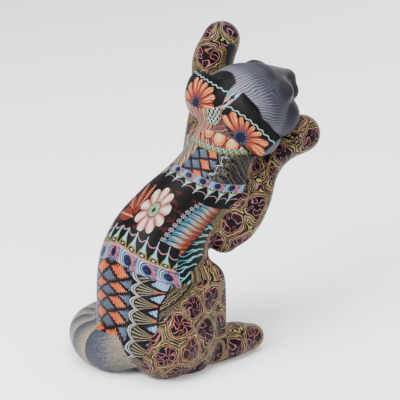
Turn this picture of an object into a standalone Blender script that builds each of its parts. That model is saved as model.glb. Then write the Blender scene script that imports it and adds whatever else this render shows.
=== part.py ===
"""Polymer clay cat that sits on its haunches, leans forward and reaches up with both front paws.

The cat faces -Y, its right side is -X, and it stands on the plane z = 0.
It is one solid piece of clay.
"""
import math

import bmesh
import bpy
from mathutils import Matrix, Vector

# Overall size
HEIGHT = 0.122                  # ground to the tip of the raised paw

# The pose is set out on a grid of 122 steps to the height, a millimetre each at this size
STEP = HEIGHT / 122

# Fineness of the modelled skin, as shares of the height
SKIN_CELL = HEIGHT / 150        # spacing of the skin's points while the masses are blended
TRUNK_PASSES = 50               # rounds of smoothing that merge the trunk with the haunches
SKIN_PASSES = 10                # rounds of smoothing that turn the other joins into soft creases
SKIN_TRIANGLES = 9400           # triangles that are left in the finished skin
CAP_WELD = HEIGHT / 100000      # a limb's end caps are welded to its wall within this distance
SOFTENING = 0.5                 # how far each round of smoothing moves a point to its neighbours
BALL_SIDES = 32
BALL_RINGS = 20
LIMB_BEVEL = 12                 # steps in each quarter of the way round a limb, less one
LIMB_STEPS = 10                 # rings between two stations of a limb

# Body, from the seat to the base of the neck: place and radius on the pose grid
SPINE = (
    ((0, 5, 16), 20.5),
    ((0, 3, 30), 22.0),
    ((0, 0, 43), 21.2),
    ((-2, -7, 54), 18.0),
    ((-5.5, -17, 63), 16.0),
    ((-8.5, -28, 75), 14.0),
    ((-9, -38, 87), 13.5),
)

# Head, placed at its centre and turned from facing straight ahead
HEAD_CENTRE = (-9, -44.5, 94.5)
HEAD_TURN = math.radians(-13)   # towards its right
HEAD_LIFT = math.radians(16)    # nose up
HEAD_TILT = math.radians(22)    # its right ear down

# Right hind leg; the left one is its mirror image, set nearer the middle and further forward
LEFT_LEG_SHIFT = (-6, -8, 0)
HAUNCH_CENTRE = (-14.5, 12.5, 15.0)
HAUNCH_RADII = (15.2, 16.2, 17.0)
CALF_CENTRE = (-17.5, 3.0, 13.5)
CALF_RADII = (12.5, 13.0, 17.0)
FLANK_CENTRE = (-9, 8.5, 26)
FLANK_RADII = (17, 16.5, 18)
THIGH = (
    ((-11, 8, 22), 15.5),
    ((-15.5, 0.5, 28.5), 12.8),
    ((-19.4, -7, 34), 7.8),
)
SHIN = (
    ((-20.3, -8, 34), 6.6),
    ((-21, -8.5, 20), 6.0),
    ((-21.4, -7, 6), 6.4),
)
FOOT = (
    ((-21.6, -6, 5.8), 6.4),
    ((-24, -17.5, 6.6), 7.2),
    ((-26.2, -27.3, 5.4), 5.4),
)

# Front legs, each from the shoulder to the paw
RIGHT_ARM = (
    ((-14, -27, 68), 10.0),
    ((-15.8, -25.5, 56), 9.4),
    ((-16.5, -21.5, 47), 6.6),
)
RIGHT_FOREARM = (
    ((-17, -21.5, 46), 5.6),
    ((-20, -25.5, 51.5), 7.6),
    ((-21, -34, 60), 7.4),
    ((-18.5, -45, 68.8), 6.0),
    ((-16.8, -59, 74.4), 5.9),
    ((-18.5, -70, 78.6), 8.0),
)
LEFT_ARM = (
    ((2.5, -32.5, 76), 8.4),
    ((13, -48, 82.5), 8.2),
    ((18, -56.5, 94), 7.2),
    ((20, -60.5, 104), 8.6),
    ((16.5, -62, 114), 7.8),
)

# Tail, from the rump round the left side along the ground
TAIL = (
    ((-2, 14, 15), 11.0),
    ((0, 22, 9.8), 9.4),
    ((9, 23, 8.4), 8.6),
    ((20, 17.5, 7.8), 8.0),
    ((28.5, 8.5, 7.2), 7.4),
    ((33.5, -2, 6.3), 6.5),
    ((36, -11, 5.5), 5.7),
    ((35.5, -20, 4.6), 4.8),
)

# Head masses in the head's own frame: centre and radii across, front to back, and up
SKULL = ((0, 0, 0), (18.0, 17.5, 16.5))
CROWN = ((0, 1, 3), (15.0, 15.0, 14.0))
CHEEK = ((-9.2, -9.0, -4.4), (9.0, 10.0, 8.4))
BROW = ((-7.0, -12.0, 6.2), (6.4, 5.4, 4.4))
WHISKER_PAD = ((-3.2, -20.6, -2.2), (4.5, 5.0, 4.2))
CHIN = ((0, -17.8, -6.6), (4.6, 5.0, 3.8))
NOSE = ((0, -25.2, 2.0), (2.8, 1.6, 1.9))
EYE = ((-7.6, -15.4, 1.9), (3.7, 2.5, 3.0))
NOSE_BRIDGE = (
    ((0, -7, 8.0), 8.2),
    ((0, -15.5, 5.0), 5.6),
    ((0, -22, 1.8), 4.4),
)

# Ears: a cupped flap on each side of the back of the head
EAR_CENTRE = (-12.0, 8.3, 5.0)
LEFT_EAR_SHIFT = (-1.8, 0, 0)   # the left ear is set a little nearer the middle
EAR_HALF_WIDTH = 13.5
EAR_HALF_HEIGHT = 10.5
EAR_CUP = 4.0                   # depth of the hollow
EAR_LIP = 0.1                   # the flap is the part of the cup beyond this share of its depth
EAR_RIM = 0.5                   # and ends in a straight rim at this share of its half height
EAR_THICKNESS = 5.0
EAR_ALONG = (-0.90, -0.10, -0.42)
EAR_UPRIGHT = (-0.20, -0.69, 0.69)

GROUND_BLOCK = 2 * HEIGHT       # side of the block that cuts the figure off flat at the ground


def clear_scene():
    for item in list(bpy.data.objects):
        bpy.data.objects.remove(item, do_unlink=True)


def new_collection(name):
    collection = bpy.data.collections.new(name)
    bpy.context.scene.collection.children.link(collection)
    return collection


def mirrored(place):
    return (-place[0], place[1], place[2])


def left_leg_place(place):
    return tuple(Vector(mirrored(place)) + Vector(LEFT_LEG_SHIFT))


def head_frame():
    """Head frame to world: turn about the vertical, then lift the nose, then tilt to the right."""
    turn = Matrix.Rotation(HEAD_TURN, 4, "Z")
    lift = Matrix.Rotation(-HEAD_LIFT, 4, "X")
    tilt = Matrix.Rotation(-HEAD_TILT, 4, "Y")
    return Matrix.Translation(Vector(HEAD_CENTRE) * STEP) @ turn @ lift @ tilt


def add_ball(clay, centre, radii, frame=Matrix.Identity(4)):
    """An ellipsoid of clay; frame carries grid places to the world."""
    place = frame @ Matrix.Translation(Vector(centre) * STEP)
    size = Matrix.Diagonal(Vector(radii) * STEP).to_4x4()
    bmesh.ops.create_uvsphere(
        clay, u_segments=BALL_SIDES, v_segments=BALL_RINGS, radius=1.0, matrix=place @ size
    )


def add_limb(clay, stations, frame=Matrix.Identity(4)):
    """A rounded limb through its stations, each a place and a radius, with a ball at each end."""
    data = bpy.data.curves.new("limb", "CURVE")
    data.dimensions = "3D"
    data.bevel_depth = STEP
    data.bevel_resolution = LIMB_BEVEL
    data.resolution_u = LIMB_STEPS
    data.use_fill_caps = True
    spline = data.splines.new("BEZIER")
    spline.radius_interpolation = "CARDINAL"
    spline.bezier_points.add(len(stations) - 1)
    for point, (place, radius) in zip(spline.bezier_points, stations):
        point.co = frame @ (Vector(place) * STEP)
        point.radius = radius
        point.handle_left_type = "AUTO"
        point.handle_right_type = "AUTO"
    limb = bpy.data.objects.new("limb", data)
    bpy.context.scene.collection.objects.link(limb)
    evaluated = limb.evaluated_get(bpy.context.evaluated_depsgraph_get())
    mesh = bpy.data.meshes.new_from_object(evaluated)
    bpy.data.objects.remove(limb, do_unlink=True)
    bpy.data.curves.remove(data)
    tube = bmesh.new()
    tube.from_mesh(mesh)
    bmesh.ops.remove_doubles(tube, verts=tube.verts, dist=CAP_WELD)
    tube.to_mesh(mesh)
    tube.free()
    clay.from_mesh(mesh)
    bpy.data.meshes.remove(mesh)
    for place, radius in (stations[0], stations[-1]):
        add_ball(clay, place, (radius, radius, radius), frame)


def add_ear(clay, side):
    """A cupped flap, its hollow side forward; side is -1 for the right ear and 1 for the left."""
    flip = Vector((-side, 1, 1))
    along = (Vector(EAR_ALONG) * flip).normalized()
    upright = Vector(EAR_UPRIGHT) * flip
    upright = (upright - along * upright.dot(along)).normalized()
    outward = along.cross(upright)
    if outward.y < 0:
        outward = -outward
    turn = Matrix((along, upright, outward)).transposed().to_4x4()
    centre = Vector(EAR_CENTRE) * flip
    if side > 0:
        centre += Vector(LEFT_EAR_SHIFT)
    shell = bmesh.new()
    bmesh.ops.create_uvsphere(shell, u_segments=BALL_SIDES, v_segments=BALL_RINGS, radius=1.0)
    cuts = (((0, 0, EAR_LIP), (0, 0, 1)), ((0, EAR_RIM, 0), (0, -1, 0)))
    for point, inward in cuts:
        everything = shell.verts[:] + shell.edges[:] + shell.faces[:]
        bmesh.ops.bisect_plane(shell, geom=everything, plane_co=point, plane_no=inward, clear_inner=True)
    size = Matrix.Diagonal((EAR_HALF_WIDTH, EAR_HALF_HEIGHT, EAR_CUP, 1)) * STEP
    size[3][3] = 1
    place = head_frame() @ Matrix.Translation(centre * STEP)
    bmesh.ops.transform(shell, matrix=place @ turn @ size, verts=shell.verts)
    mesh = bpy.data.meshes.new("ear")
    shell.to_mesh(mesh)
    shell.free()
    ear = bpy.data.objects.new("ear", mesh)
    bpy.context.scene.collection.objects.link(ear)
    wall = ear.modifiers.new("wall", "SOLIDIFY")
    wall.thickness = EAR_THICKNESS * STEP
    wall.offset = 0
    bpy.context.view_layer.update()
    solid = bpy.data.meshes.new_from_object(ear.evaluated_get(bpy.context.evaluated_depsgraph_get()))
    clay.from_mesh(solid)
    bpy.data.objects.remove(ear, do_unlink=True)
    bpy.data.meshes.remove(mesh)
    bpy.data.meshes.remove(solid)


def add_head(clay):
    frame = head_frame()
    for centre, radii in (SKULL, CROWN, CHIN, NOSE):
        add_ball(clay, centre, radii, frame)
    add_limb(clay, NOSE_BRIDGE, frame)
    for centre, radii in (CHEEK, BROW, WHISKER_PAD, EYE):
        add_ball(clay, centre, radii, frame)
        add_ball(clay, mirrored(centre), radii, frame)
    add_ear(clay, -1)
    add_ear(clay, 1)


def add_leg_limb(clay, stations):
    add_limb(clay, stations)
    add_limb(clay, [(left_leg_place(place), radius) for place, radius in stations])


def add_haunches(clay):
    masses = (HAUNCH_CENTRE, HAUNCH_RADII), (CALF_CENTRE, CALF_RADII), (FLANK_CENTRE, FLANK_RADII)
    for centre, radii in masses:
        add_ball(clay, centre, radii)
        add_ball(clay, left_leg_place(centre), radii)
    add_leg_limb(clay, THIGH)
    add_leg_limb(clay, SHIN)


def ground_block(collection):
    """A block under the ground plane that cuts the figure's seat and feet off flat."""
    bpy.ops.mesh.primitive_cube_add(size=GROUND_BLOCK, location=(0, 0, -GROUND_BLOCK / 2))
    block = bpy.context.object
    block.name = "ground_block"
    for owner in list(block.users_collection):
        owner.objects.unlink(block)
    collection.objects.link(block)
    block.hide_render = True
    block.display_type = "WIRE"
    return block


def clay_material():
    material = bpy.data.materials.new("patterned_clay")
    material.use_nodes = True
    shader = material.node_tree.nodes["Principled BSDF"]
    shader.inputs["Base Color"].default_value = (0.16, 0.12, 0.10, 1)
    shader.inputs["Roughness"].default_value = 0.42
    shader.inputs["Metallic"].default_value = 0.0
    return material


def add_skin(item, passes):
    """Modifiers that fuse the masses of an object into one skin and soften the joins."""
    blend = item.modifiers.new("blend", "REMESH")
    blend.mode = "VOXEL"
    blend.voxel_size = SKIN_CELL
    blend.use_smooth_shade = True
    soften = item.modifiers.new("soften", "SMOOTH")
    soften.factor = SOFTENING
    soften.iterations = passes


def make_trunk():
    """The trunk and the haunches fused on their own, so that they flow into each other."""
    masses = bmesh.new()
    add_limb(masses, SPINE)
    add_haunches(masses)
    mesh = bpy.data.meshes.new("trunk")
    masses.to_mesh(mesh)
    masses.free()
    trunk = bpy.data.objects.new("trunk", mesh)
    bpy.context.scene.collection.objects.link(trunk)
    add_skin(trunk, TRUNK_PASSES)
    bpy.context.view_layer.update()
    fused = bpy.data.meshes.new_from_object(trunk.evaluated_get(bpy.context.evaluated_depsgraph_get()))
    clay = bmesh.new()
    clay.from_mesh(fused)
    bpy.data.objects.remove(trunk, do_unlink=True)
    bpy.data.meshes.remove(mesh)
    bpy.data.meshes.remove(fused)
    return clay


def make_cat(collection, block):
    clay = make_trunk()
    for stations in (RIGHT_ARM, RIGHT_FOREARM, LEFT_ARM, TAIL):
        add_limb(clay, stations)
    add_leg_limb(clay, FOOT)
    add_head(clay)
    mesh = bpy.data.meshes.new("cat_figure")
    clay.to_mesh(mesh)
    clay.free()
    cat = bpy.data.objects.new("cat_figure", mesh)
    collection.objects.link(cat)
    cat.data.materials.append(clay_material())

    add_skin(cat, SKIN_PASSES)
    bpy.context.view_layer.update()
    blended = cat.evaluated_get(bpy.context.evaluated_depsgraph_get()).data
    thin = cat.modifiers.new("thin", "DECIMATE")
    thin.ratio = SKIN_TRIANGLES / sum(len(face.vertices) - 2 for face in blended.polygons)
    thin.use_collapse_triangulate = True
    seat = cat.modifiers.new("seat", "BOOLEAN")
    seat.operation = "DIFFERENCE"
    seat.object = block
    return cat


clear_scene()
figure_collection = new_collection("polymer_clay_cat")
cutter_collection = new_collection("cutters")
make_cat(figure_collection, ground_block(cutter_collection))
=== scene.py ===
"""The clay cat's skin, its inlaid patterns, the floor, the light and the camera.

Lengths are in metres, as in the frame; the named sizes below are in millimetres where they say so.
The cat faces -Y, its right side is -X, and it stands on z = 0.
"""
import math

import bpy
import numpy as np
from mathutils import Matrix, Vector
from mathutils.kdtree import KDTree


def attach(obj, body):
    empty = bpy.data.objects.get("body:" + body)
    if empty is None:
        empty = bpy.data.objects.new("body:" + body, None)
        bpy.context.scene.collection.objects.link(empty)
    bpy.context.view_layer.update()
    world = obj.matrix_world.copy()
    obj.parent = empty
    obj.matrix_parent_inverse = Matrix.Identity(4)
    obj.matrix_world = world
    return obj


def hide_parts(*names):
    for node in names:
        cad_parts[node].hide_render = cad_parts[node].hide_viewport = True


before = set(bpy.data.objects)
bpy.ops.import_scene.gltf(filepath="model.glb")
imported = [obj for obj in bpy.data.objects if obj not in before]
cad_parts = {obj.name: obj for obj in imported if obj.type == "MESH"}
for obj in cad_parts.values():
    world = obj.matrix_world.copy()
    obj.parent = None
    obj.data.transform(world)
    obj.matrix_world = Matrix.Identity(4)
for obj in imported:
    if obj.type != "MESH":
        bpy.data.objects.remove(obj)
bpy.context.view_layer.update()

MM = 0.001
CAT = "cat_figure"

# Camera of the photograph: behind the cat's right shoulder and above it
IMAGE_WIDTH_PX = 400
VIEW_TURN = math.radians(40)  # from straight behind towards the cat's right
VIEW_RISE = math.radians(23)
CAMERA_DISTANCE = 0.8
PX_PER_MM = 2.5  # scale of the photograph at the origin
ORIGIN_PX = (156, 353)  # where the frame's origin shows in the photograph
SENSOR_MM = 36

# Floor and light, in metres and watts
FLOOR_WIDTH = 3.0
FLOOR_COLOUR = (0.95, 0.95, 0.95)
SKY_STRENGTH = 0.9
LIT_POINT = Vector((0, -0.02, 0.06))
LAMPS = (
    ("key", (0.05, 0.55, 0.55), 0.4, 11.0),
    ("side", (-0.65, 0.25, 0.3), 0.4, 3.0),
    ("top", (0, 0, 0.8), 0.6, 10.0),
    ("front", (0.1, -0.7, 0.3), 0.5, 2.0),
)

# Fine skin
SKIN_CELL = 0.68 * MM
SKIN_PASSES = 7

# Middle lines of the trunk, from seat to neck, and of the tail, in millimetres
SPINE = (
    (0, 5, 2), (0, 5, 16), (0, 3, 30), (0, 0, 43), (-2, -7, 54),
    (-5.5, -17, 63), (-8.5, -28, 75), (-9, -38, 87), (-9, -46, 97),
)
TAIL = (
    (-2, 14, 15), (0, 22, 9.8), (9, 23, 8.4), (20, 17.5, 7.8), (28.5, 8.5, 7.2),
    (33.5, -2, 6.3), (36, -11, 5.5), (35.5, -20, 4.6), (35.5, -26, 4.6),
)
CURVE_STEPS = 24  # points of a smooth line between two of its stations

# Head: place, and turns in degrees about z, x and y, as in the solid
HEAD_PLACE = (-9, -44.5, 94.5)
HEAD_TURNS = ((-13, "Z"), (-16, "X"), (-22, "Y"))
EAR_CENTRE = (-12, 8.3, 5)
LEFT_EAR_SHIFT = -1.8
EAR_ALONG = (-0.90, -0.10, -0.42)
EAR_UPRIGHT = (-0.20, -0.69, 0.69)

# Finish of the clay and the floor
CLAY_ROUGHNESS = 0.4
CLAY_ROUGHNESS_SPREAD = 0.12
CLAY_SPECULAR = 0.08
BUMP_STRENGTH = 0.12
BUMP_DEPTH = 0.2 * MM
FLOOR_ROUGHNESS = 0.9
COLOUR_DEPTH = 1.15  # above 1 the clays are deeper than the values below
COLOUR_SHADE = 0.44  # and this much of their light
LINE_SOFT = 0.14  # width of a line's soft edge, in millimetres

# Slices of the ringed cane, in millimetres
SLICE_SPACING = 9.6
SLICE_SEED = 7
SLICE_STRETCH = 0.36  # how far a slice is pulled out of round
SLICE_TURNED = 30.0  # how much a slice that faces another way counts as farther off
SLICE_MIDDLE = 0.3  # this near its centre the skin counts as flat
SEED_STEP = 0.01  # a slice's own number, small enough not to change its radius

# Rings of a slice, by a number that grows from its core to its border
RING_PER_MM = 0.32  # what a millimetre adds
RING_BY_SHARE = 7.1  # what the share of the way to the next slice adds
RING_WOBBLE = 2.7
OUTER_LIME, OUTER_LILAC, INNER_LIME, INNER_LILAC = 6.85, 6.3, 5.75, 5.14
DARK_EDGE, DARK_LIME, DARK_RUST = 4.75, 4.62, 4.22
CORE_EDGE, CORE_LILAC = 4.05, 3.86
CORE_PETALS = 4  # petals of a core, and one more in half of the slices
PETAL_START, PETAL_LINE, PETAL_HEART = 2.1, 0.86, 0.5

# Panels of the back, in millimetres up the spine and degrees about it
BACK_MM_PER_DEGREE = 0.384
PANEL_AXIS = 12.0  # the lower panels mirror about this angle to the cat's left
AXIS_STRAIGHT, AXIS_ASIDE = 60, 40  # above the first the mirror line is the spine's own
CLOTH_BASE, CLOTH_GROWTH, CLOTH_RISE, CLOTH_WIDEST = 26, 4.6, 13, 98.0
BELLY_START, BELLY_FRAY = 34.5, 35.0
HEAD_START = 92.0
MIDDLE_START, MIDDLE_END = 45.0, 70.0  # the rosette, the chain and the stripes
BRANCHES_START, BRANCHES_END = 34.0, 63.0
BRANCHES_LEFT, BRANCHES_WIDEST = 58.0, 122.0
BRANCH_PITCH = 3.4
STRIPES_WIDEST = 87.0
CHAIN_PITCH = 2.0
CHAIN_HALF = 1.5
SPIKES_TOP, SPIKES_SIDE = 46.0, 62.0
EYES_SIDE = 66.0
LEAF_COLUMN, LEAF_ROW = 14.5, 5.6
LEAVES_MIDDLE = 22.6
FAN_START, FAN_END = 17.5, 58.0
FAN_PITCH, FAN_LENGTH, FAN_WEDGES = 4.9, 11.0, 7.4
FAN_MIDDLE = 26
EYE_PITCH = 8.4
EYE_TURN = 22.5
SPIKE_PITCH, SPIKE_TURN = 5.0, 13.2
UPPER_SPIKE_PITCH, UPPER_SPIKE_TURN = 6.2, 17

# Rosette and the leaves beside it, in millimetres and degrees
ROSETTE_HEIGHT = 54.0
ROSETTE_ASIDE, ROSETTE_DOWN = 4.6, 0.4
ROSETTE_RADIUS, ROSETTE_PETAL, ROSETTE_HEART = 7.6, 40, 2.3
LEAF_ROOT_ASIDE, LEAF_ROOT_DOWN = 3.0, 5.0
LEAVES_BESIDE = ((100, 11.0), (128, 13.0), (154, 13.0), (181, 11.0))  # turn and length
LEAF_HALF = 1.9

# Neck, in millimetres up the spine and degrees about it; the upper band's are from its foot
UPPER_SIDE = 99.0
UPPER_SPIKES_START, UPPER_SPIKES_FOOT = 2.2, 8.4
UPPER_EYES_START, UPPER_EYES_MIDDLE, UPPER_EYES_END = 7.6, 9.3, 11.0
NECK_START = 10.8
NECK_LEAF_COLUMN, NECK_LEAF_ROW, NECK_LEAVES_MIDDLE = 13, 5.2, 79
NECK_FANS_START, NECK_FANS_END, NECK_FAN_PITCH = 38, 62.0, 3.6
TOOTH_TURN, TOOTH_HEIGHT = 9, 3.2
SHELL_TURN, SHELL_PITCH, SHELL_RADIUS = 24, 7.2, 3.1

# Nape, as the neck, but its radius is from the head's middle
NAPE_START, NAPE_RADIUS, NAPE_SIDE = 92.5, 24.5, 85.0
CHECK_TURN, CHECK_HEIGHT = 4, 1.2
CHECKS_START, CHECKS_END = 95.5, 102.5
TUFT_START = 102.0

# Face, in the head's own millimetres
FACE_BACK = 5.0
FACE_RADIUS = 20.5
EYE_ASIDE, EYE_HEIGHT, EYE_SLANT = 7.7, 2.0, 0.25
EYE_RIM, EYE_IRIS, EYE_PUPIL = 2.8, 2.25, 1.8
EYES_FRONT, EYES_BACK = -20.6, -11.0
MUZZLE_BACK = -19.0
DOT_PITCH, DOT_ROW = 1.5, 1.4

# Each ear: where its pale line starts, how steep and how bent it is; the fan's heart, along and up;
# where the paint starts, how high it goes, and where the grey rim begins
RIGHT_EAR = (1.4, 0.2, -0.011, 2.9, -5.8, -9.6, 6.4, 13.4)
LEFT_EAR = (3.3, 0.125, 0.0, -0.3, -7.0, -14.6, 9.6, 16.0)
EAR_FAN_RADIUS, EAR_PETAL = 11.2, 24
EAR_OUTER_END, EAR_FOOT, EAR_BACK = 15.5, -9.2, 1.2

# Tail, in millimetres along it and about it
TAIL_START, TAIL_RADIUS = 9.0, 11.2
TAIL_CLEAR = 19.2  # from here on the tail's paint goes all round
TAIL_BAND, FIRST_BAND = 9.8, 9.2

# Clays, as sRGB out of 255
BLACK = (18, 16, 20)
PITCH = (16, 12, 16)
SOOT = (15, 15, 18)
OUTLINE = (20, 18, 24)
INK = (36, 32, 62)
ORANGE = (226, 124, 76)
RUST_ORANGE = (200, 92, 56)
PEACH = (240, 172, 128)
PEACH_CREAM = (242, 200, 150)
RUST = (190, 88, 62)
RED_ORANGE = (206, 92, 72)
RED_BROWN = (116, 46, 36)
RUSSET = (158, 76, 52)
CORAL = (216, 122, 100)
GREY_BLUE = (112, 122, 142)
SLATE = (62, 68, 84)
PALE_BLUE = (150, 185, 212)
DEEP_BLUE = (52, 76, 116)
SKY_BLUE = (112, 158, 205)
DEEP_SKY = (48, 124, 152)
ICE_BLUE = (186, 212, 228)
AQUA = (136, 200, 198)
TEAL = (70, 130, 130)
PALE_TEAL = (166, 198, 192)
NIGHT_TEAL = (16, 28, 32)
NIGHT_GREEN = (16, 28, 20)
LEAF_GREEN = (110, 150, 110)
PALE_GREEN = (190, 210, 180)
OLIVE_YELLOW = (140, 130, 70)
PALE_STRAW = (224, 218, 186)
PALE_YELLOW = (205, 200, 150)
YELLOW_GREEN = (182, 176, 92)
WINE = (50, 24, 30)
MAUVE = (180, 126, 140)
CORAL_PINK = (208, 132, 116)
PINK = (206, 150, 160)
LILAC = (160, 138, 178)
DUSTY_ROSE = (148, 98, 96)
DUSTY_PINK = (190, 130, 120)
CREAM = (238, 220, 204)
CREAM_PINK = (218, 186, 174)
PALE_GREY = (204, 204, 208)
BONE = (190, 180, 160)
TAN = (186, 170, 140)
TAN_OLIVE = (130, 114, 88)
TAN_PEACH = (205, 160, 128)
OLIVE_BROWN = (110, 98, 74)
DARK_OLIVE = (48, 44, 34)
BROWN_GREY = (112, 100, 96)
CROWN_GREY = (110, 109, 124)
CROWN_LIGHT = (182, 181, 194)
CROWN_DARK = (62, 62, 78)
CHARCOAL = (58, 56, 62)
MUZZLE_DARK = (36, 34, 37)
TAN_SAND = (198, 180, 148)
TAIL_TAN = (174, 158, 132)
TAIL_OLIVE = (150, 148, 134)
TAIL_BLUE = (110, 112, 124)
TAIL_GREY = (82, 85, 98)

# Rings round an eye of the bands, from the outermost: clay, radius and half its width
EYE_RINGS = (
    (OUTLINE, 2.55, 0.14),
    (ICE_BLUE, 2.2, 0.2),
    (OUTLINE, 1.85, 0.15),
    (SKY_BLUE, 1.55, 0.16),
)

# Slices that show in the photograph, in millimetres; the rest are spread between them
SLICES_SEEN = (
    (-17.6, 27.3, 19.8), (-24.6, 23.9, 12.7), (-26.4, 17.0, 23.7), (-29.0, 4.3, 18.7),
    (-26.4, -0.7, 29.7), (-27.6, -3.1, 6.7), (-27.2, -28.1, 60.6), (-22.4, -19.0, 54.6),
    (-23.6, -23.7, 67.2), (-31.0, -21.9, 7.8), (11.4, -62.7, 119.6), (17.8, -53.1, 108.8),
    (-25.9, -67.6, 78.8), (-25.0, 17.2, 4.4),
)


def smooth_line(stations):
    """Points of a smooth curve through the stations, with the length so far at each point."""
    stations = np.array(stations, float)
    ends = np.vstack((2 * stations[0] - stations[1], stations, 2 * stations[-1] - stations[-2]))
    points = []
    for a, b, c, d in zip(ends, ends[1:], ends[2:], ends[3:]):
        for t in np.arange(CURVE_STEPS) / CURVE_STEPS:
            points.append(0.5 * (2 * b + (c - a) * t + (2 * a - 5 * b + 4 * c - d) * t ** 2
                                 + (3 * b - a - 3 * c + d) * t ** 3))
    points.append(ends[-2])
    points = np.array(points)
    lengths = np.concatenate(([0], np.cumsum(np.linalg.norm(np.diff(points, axis=0), axis=1))))
    return points, lengths


def along_and_around(places, stations, side):
    """For each place: length along the curve, angle around it, and distance from it.

    The angle is zero on the outer side of the curve and grows towards the given side.
    """
    points, lengths = smooth_line(stations)
    tree = KDTree(len(points))
    for index, point in enumerate(points):
        tree.insert(Vector(point), index)
    tree.balance()
    nearest = np.array([tree.find(Vector(place))[1] for place in places])
    tangents = np.gradient(points, axis=0)
    tangents /= np.linalg.norm(tangents, axis=1)[:, None]
    tangent = tangents[nearest]
    offset = places - points[nearest]
    slip = np.einsum("ij,ij->i", offset, tangent)
    along = lengths[nearest] + slip
    offset = offset - tangent * slip[:, None]
    sideways = np.array(side, float) - tangent * (tangent @ np.array(side, float))[:, None]
    sideways /= np.linalg.norm(sideways, axis=1)[:, None]
    outward = np.cross(sideways, tangent)
    angle = np.arctan2(np.einsum("ij,ij->i", offset, sideways), np.einsum("ij,ij->i", offset, outward))
    return along, angle, np.linalg.norm(offset, axis=1)


def put_in_scene(name, data):
    thing = bpy.data.objects.new(name, data)
    bpy.context.scene.collection.objects.link(thing)
    return thing


def fine_skin():
    """The cat's own form at a fine, even spacing."""
    skin = put_in_scene("cat_skin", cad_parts[CAT].data.copy())
    skin.data.materials.clear()
    remesh = skin.modifiers.new("even", "REMESH")
    remesh.mode = "VOXEL"
    remesh.voxel_size = SKIN_CELL
    remesh.use_smooth_shade = True
    soften = skin.modifiers.new("soften", "SMOOTH")
    soften.factor = 0.5
    soften.iterations = SKIN_PASSES
    bpy.context.view_layer.update()
    mesh = bpy.data.meshes.new_from_object(skin.evaluated_get(bpy.context.evaluated_depsgraph_get()))
    skin.modifiers.clear()
    skin.data = mesh
    mesh.shade_smooth()
    return skin


def read(items, name, width=3, kind=float):
    """One property of each item, in rows of the given width."""
    values = np.empty(len(items) * width, kind)
    items.foreach_get(name, values)
    return values.reshape(-1, width) if width > 1 else values


def store_vectors(mesh, name, values, domain="POINT"):
    layer = mesh.attributes.new(name, "FLOAT_VECTOR", domain)
    layer.data.foreach_set("vector", np.asarray(values, np.float32).ravel())


def head_places(places):
    """The places in the head's own millimetres."""
    matrix = Matrix.Translation(HEAD_PLACE)
    for degrees, axis in HEAD_TURNS:
        matrix = matrix @ Matrix.Rotation(math.radians(degrees), 4, axis)
    inverse = np.array(matrix.inverted())
    return places @ inverse[:3, :3].T + inverse[:3, 3]


def ear_places(head, side):
    """Head places as seen from one ear: along it, up it and out from its back."""
    flip = np.array((-side, 1, 1), float)
    along = np.array(EAR_ALONG) * flip
    along /= np.linalg.norm(along)
    upright = np.array(EAR_UPRIGHT) * flip
    upright -= along * (upright @ along)
    upright /= np.linalg.norm(upright)
    outward = np.cross(along, upright)
    if outward[1] < 0:
        outward = -outward
    centre = np.array(EAR_CENTRE) * flip
    if side > 0:
        centre[0] += LEFT_EAR_SHIFT
    offset = head - centre
    return np.stack((offset @ along, offset @ upright, offset @ outward), 1)


def slice_centres(places):
    """Places spread evenly over the skin, each at least the slices' spacing from the others."""
    chosen = []
    free = np.full(len(places), np.inf)
    for place in SLICES_SEEN:
        chosen.append(int(np.argmin(np.linalg.norm(places - place, axis=1))))
        free = np.minimum(free, np.linalg.norm(places - places[chosen[-1]], axis=1))
    while free.max() > SLICE_SPACING:
        chosen.append(int(np.argmax(free)))
        free = np.minimum(free, np.linalg.norm(places - places[chosen[-1]], axis=1))
    return np.array(chosen)


def write_slices(mesh, places):
    """For each corner of each face, where it lies on the three slices nearest to that face."""
    chosen = slice_centres(places)
    centres = places[chosen]
    random = np.random.default_rng(SLICE_SEED)
    turns = random.uniform(0, math.tau, len(chosen))
    numbers = random.uniform(0, 1, len(chosen))
    stretches = np.exp(random.uniform(-SLICE_STRETCH, SLICE_STRETCH, len(chosen)))
    outward = read(mesh.vertices, "normal")[chosen]
    aside = np.cross(outward, np.where(np.abs(outward[:, 2:3]) < 0.8, (0.0, 0.0, 1.0), (1.0, 0.0, 0.0)))
    aside /= np.linalg.norm(aside, axis=1)[:, None]
    across = np.cross(outward, aside)
    first = aside * np.cos(turns)[:, None] + across * np.sin(turns)[:, None]
    second = np.cross(outward, first)
    middle = read(mesh.polygons, "center") / MM
    facing = read(mesh.polygons, "normal")
    apart = (np.sum(middle ** 2, 1)[:, None] - 2 * middle @ centres.T + np.sum(centres ** 2, 1)
             + SLICE_TURNED * (1 - facing @ outward.T))
    order = np.argsort(apart, axis=1)[:, :3]
    corner_face = np.repeat(np.arange(len(middle)), read(mesh.polygons, "loop_total", 1, np.int32))
    corner_vertex = read(mesh.loops, "vertex_index", 1, np.int32)
    for rank, name in enumerate(("slice_a", "slice_b", "slice_c")):
        pick = order[corner_face, rank]
        offset = places[corner_vertex] - centres[pick]
        x = np.einsum("ij,ij->i", offset, first[pick]) * stretches[pick]
        y = np.einsum("ij,ij->i", offset, second[pick]) / stretches[pick]
        flat = np.maximum(np.hypot(x, y), 1e-6)
        scale = np.linalg.norm(offset, axis=1) / flat
        scale = np.where(flat < SLICE_MIDDLE, 1.0, scale)
        store_vectors(mesh, name, np.stack((x * scale, y * scale, numbers[pick] * SEED_STEP), 1), "CORNER")


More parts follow.
